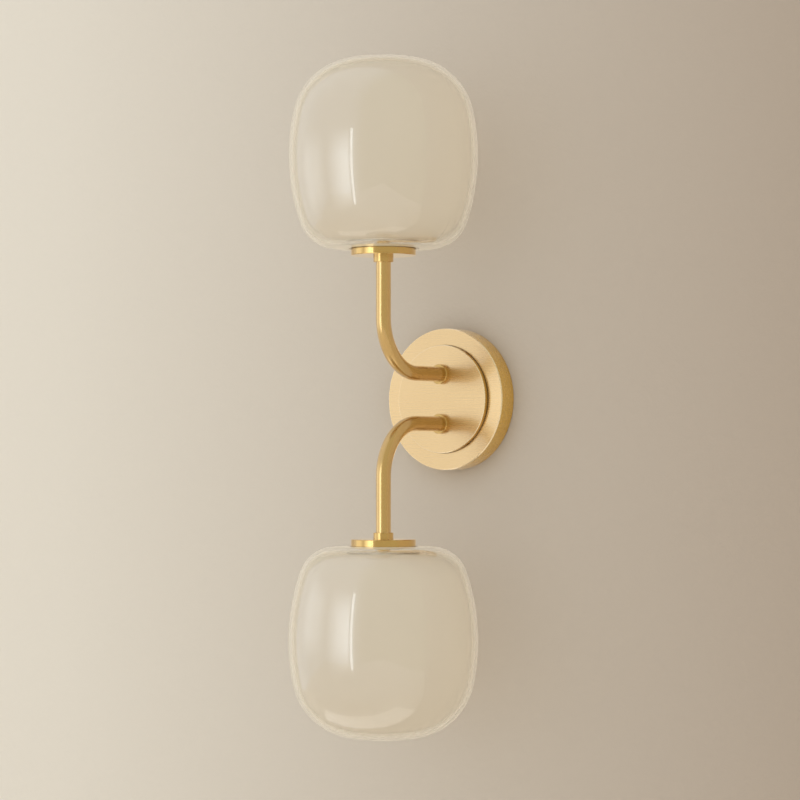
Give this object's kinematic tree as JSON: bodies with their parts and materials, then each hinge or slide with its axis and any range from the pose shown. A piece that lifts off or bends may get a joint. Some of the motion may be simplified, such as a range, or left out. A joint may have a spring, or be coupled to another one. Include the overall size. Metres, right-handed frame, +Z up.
{
  "type": "wall sconce",
  "caption": "Wall light with a round brass canopy and bent tube arms, one up and one down, each carrying a double-walled glass globe with an opal liner.",
  "frame": {"origin": "centre of the canopy's wall face, in the plane of the wall", "axes": "+Z up, +Y into the wall, +X to the right as seen from the room; the lamp stands out towards -Y"},
  "size_m": [0.1564, 0.1798, 0.5656],
  "materials": {
    "satin_brass": "satin, fine brushed grain",
    "polished_brass": "polished",
    "clear_glass": "clear, fire polished",
    "opal_glass": "cream opal, glossy",
    "zinc_plated_steel": "zinc plated",
    "green_steel": "green passivated",
    "green_insulation": "smooth",
    "white_insulation": "smooth",
    "connector_plastic": "moulded",
    "silicone": "translucent white",
    "white_ceramic": "unglazed white",
    "contact_brass": "nickel plated",
    "white_plastic": "gloss",
    "frosted_plastic": "frosted"
  },
  "bodies": {
    "lamp_frame": {"canopy": "satin_brass", "face_disc": "satin_brass", "mounting_plate": "zinc_plated_steel", "canopy_grub_screws": "satin_brass", "ground_screw": "green_steel", "ground_wire": "green_insulation", "wire_connectors": "connector_plastic", "upper_arm_tube": "satin_brass", "upper_arm_ferrule": "satin_brass", "upper_arm_wall_nipple": "zinc_plated_steel", "upper_arm_lock_washer": "zinc_plated_steel", "upper_arm_nut": "zinc_plated_steel", "upper_arm_wires": "white_insulation", "upper_holder_nipple": "zinc_plated_steel", "upper_holder_collar": "satin_brass", "upper_holder_disc": "polished_brass", "upper_holder_gasket": "silicone", "upper_holder_spigot": "polished_brass", "upper_holder_lock_washer": "zinc_plated_steel", "upper_holder_nut": "zinc_plated_steel", "upper_lampholder_bracket": "zinc_plated_steel", "upper_lampholder_rivets": "zinc_plated_steel", "upper_lampholder_body": "white_ceramic", "upper_lampholder_contacts": "contact_brass", "lower_arm_tube": "satin_brass", "lower_arm_ferrule": "satin_brass", "lower_arm_wall_nipple": "zinc_plated_steel", "lower_arm_lock_washer": "zinc_plated_steel", "lower_arm_nut": "zinc_plated_steel", "lower_arm_wires": "white_insulation", "lower_holder_nipple": "zinc_plated_steel", "lower_holder_collar": "satin_brass", "lower_holder_disc": "polished_brass", "lower_holder_gasket": "silicone", "lower_holder_spigot": "polished_brass", "lower_holder_lock_washer": "zinc_plated_steel", "lower_holder_nut": "zinc_plated_steel", "lower_lampholder_bracket": "zinc_plated_steel", "lower_lampholder_rivets": "zinc_plated_steel", "lower_lampholder_body": "white_ceramic", "lower_lampholder_contacts": "contact_brass"},
    "upper_globe": {"upper_glass_collar": "white_plastic", "upper_liner_ring": "white_plastic", "upper_clear_globe": "clear_glass", "upper_opal_liner": "opal_glass"},
    "upper_bulb": {"upper_bulb_pins": "contact_brass", "upper_bulb_base": "white_plastic", "upper_bulb_cover": "frosted_plastic"},
    "lower_globe": {"lower_glass_collar": "white_plastic", "lower_liner_ring": "white_plastic", "lower_clear_globe": "clear_glass", "lower_opal_liner": "opal_glass"},
    "lower_bulb": {"lower_bulb_pins": "contact_brass", "lower_bulb_base": "white_plastic", "lower_bulb_cover": "frosted_plastic"}
  },
  "joints": [
    {"name": "upper_globe_lift", "type": "slide", "parent": "lamp_frame", "child": "upper_globe", "axis": [0, 0, 1], "range_m": [0, 0.085]},
    {"name": "upper_bulb_pull", "type": "slide", "parent": "lamp_frame", "child": "upper_bulb", "axis": [0, 0, 1], "range_m": [0, 0.012]},
    {"name": "lower_globe_lift", "type": "slide", "parent": "lamp_frame", "child": "lower_globe", "axis": [0, 0, -1], "range_m": [0, 0.085]},
    {"name": "lower_bulb_pull", "type": "slide", "parent": "lamp_frame", "child": "lower_bulb", "axis": [0, 0, -1], "range_m": [0, 0.012]}
  ]
}
